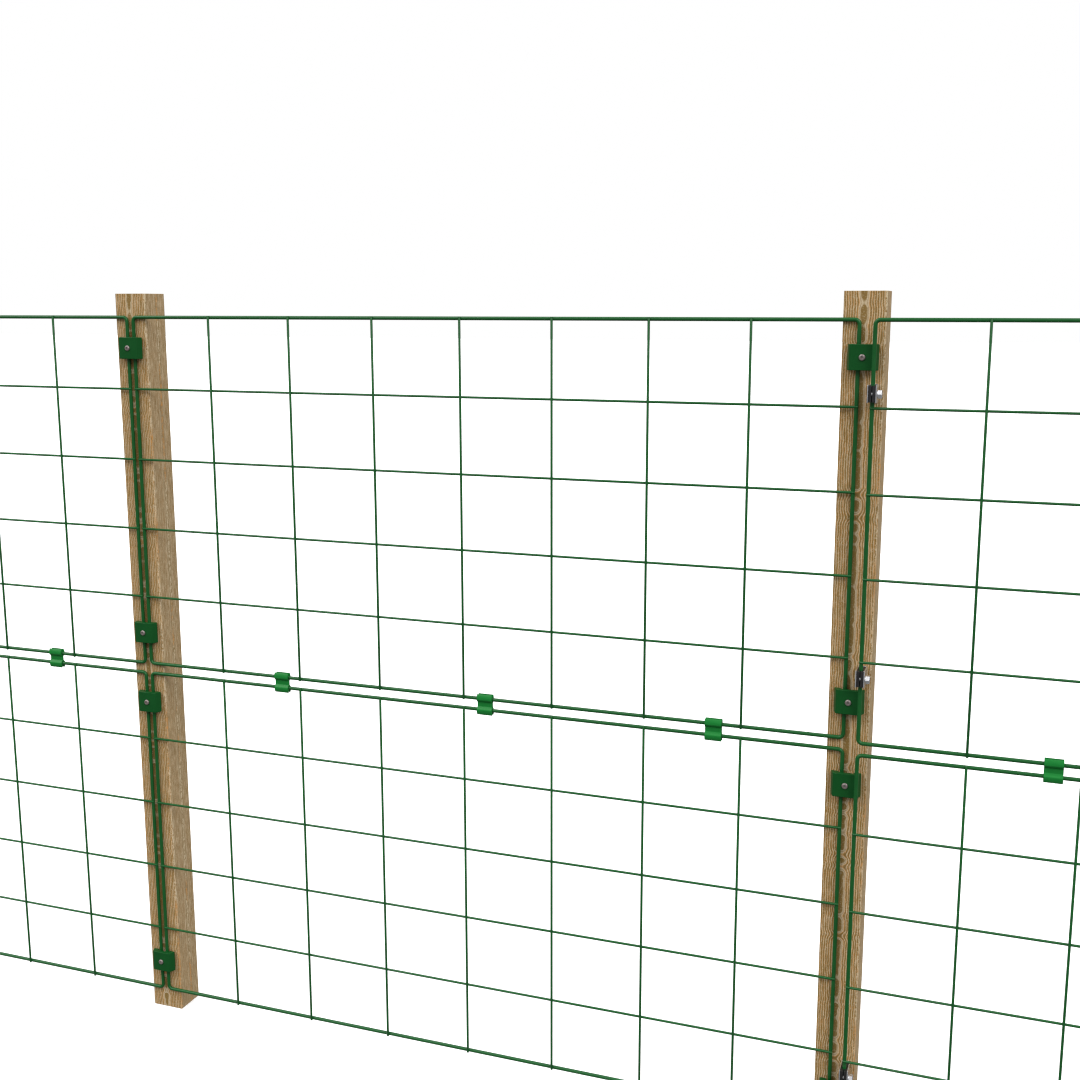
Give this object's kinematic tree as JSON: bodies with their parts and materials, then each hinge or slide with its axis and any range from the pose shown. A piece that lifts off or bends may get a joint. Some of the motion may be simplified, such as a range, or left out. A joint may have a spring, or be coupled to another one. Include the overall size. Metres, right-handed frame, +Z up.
{
  "type": "livestock panel gate",
  "caption": "Welded-wire livestock panels, two high, clamped to timber posts, with a panel gate leaf on bushed hinges, snap clips between panels and a sliding latch pin.",
  "frame": {"origin": "centre of the hinge post's foot, at ground level", "axes": "+X along the fence from the hinge post to the latch post, -Y the side the gate opens to, +Z up"},
  "size_m": [4.6486, 0.1092, 1.62],
  "materials": {
    "timber": "sawn, unplaned look with visible grain",
    "green_coat": "satin powder coat",
    "green_clip": "moulded, slightly glossy",
    "black_nylon": "moulded, satin",
    "bright_zinc": "bright plated",
    "screw_steel": "dull plated"
  },
  "bodies": {
    "fence": {"end_post": "timber", "line_post": "timber", "hinge_post": "timber", "latch_post": "timber", "left_bay_upper_panel": "green_coat", "left_bay_lower_panel": "green_coat", "mid_bay_upper_panel": "green_coat", "mid_bay_lower_panel": "green_coat", "end_post_clamp_1": "green_coat", "end_post_clamp_2": "green_coat", "end_post_clamp_3": "green_coat", "end_post_clamp_4": "green_coat", "line_post_clamp_1": "green_coat", "line_post_clamp_2": "green_coat", "line_post_clamp_3": "green_coat", "line_post_clamp_4": "green_coat", "hinge_post_clamp_1": "green_coat", "hinge_post_clamp_2": "green_coat", "hinge_post_clamp_3": "green_coat", "hinge_post_clamp_4": "green_coat", "end_post_clamp_screw_1": "screw_steel", "end_post_clamp_screw_2": "screw_steel", "end_post_clamp_screw_3": "screw_steel", "end_post_clamp_screw_4": "screw_steel", "line_post_clamp_screw_1": "screw_steel", "line_post_clamp_screw_2": "screw_steel", "line_post_clamp_screw_3": "screw_steel", "line_post_clamp_screw_4": "screw_steel", "hinge_post_clamp_screw_1": "screw_steel", "hinge_post_clamp_screw_2": "screw_steel", "hinge_post_clamp_screw_3": "screw_steel", "hinge_post_clamp_screw_4": "screw_steel", "left_bay_clip_1": "green_clip", "left_bay_clip_2": "green_clip", "left_bay_clip_3": "green_clip", "mid_bay_clip_1": "green_clip", "mid_bay_clip_2": "green_clip", "mid_bay_clip_3": "green_clip", "upper_hinge_bracket": "bright_zinc", "middle_hinge_bracket": "bright_zinc", "lower_hinge_bracket": "bright_zinc", "upper_hinge_bush": "black_nylon", "middle_hinge_bush": "black_nylon", "lower_hinge_bush": "black_nylon", "upper_hinge_bolt": "bright_zinc", "middle_hinge_bolt": "bright_zinc", "lower_hinge_bolt": "bright_zinc", "upper_hinge_screw": "screw_steel", "middle_hinge_screw": "screw_steel", "lower_hinge_screw": "screw_steel", "latch_bracket": "bright_zinc", "latch_buffer": "black_nylon", "latch_screw": "screw_steel"},
    "gate": {"gate_upper_leaf": "green_coat", "gate_lower_leaf": "green_coat", "gate_clip_1": "green_clip", "gate_clip_2": "green_clip", "gate_clip_3": "green_clip"},
    "pin": {"latch_pin": "bright_zinc"}
  },
  "joints": [
    {"name": "gate_swing", "type": "hinge", "parent": "fence", "child": "gate", "pos_m": [0.0213, -0.0595, 0.81], "axis": [0, 0, -1], "range_deg": [0, 170]},
    {"name": "latch_pin_slide", "type": "slide", "parent": "fence", "child": "pin", "axis": [1, 0, 0], "range_m": [0, 0.0155]}
  ]
}
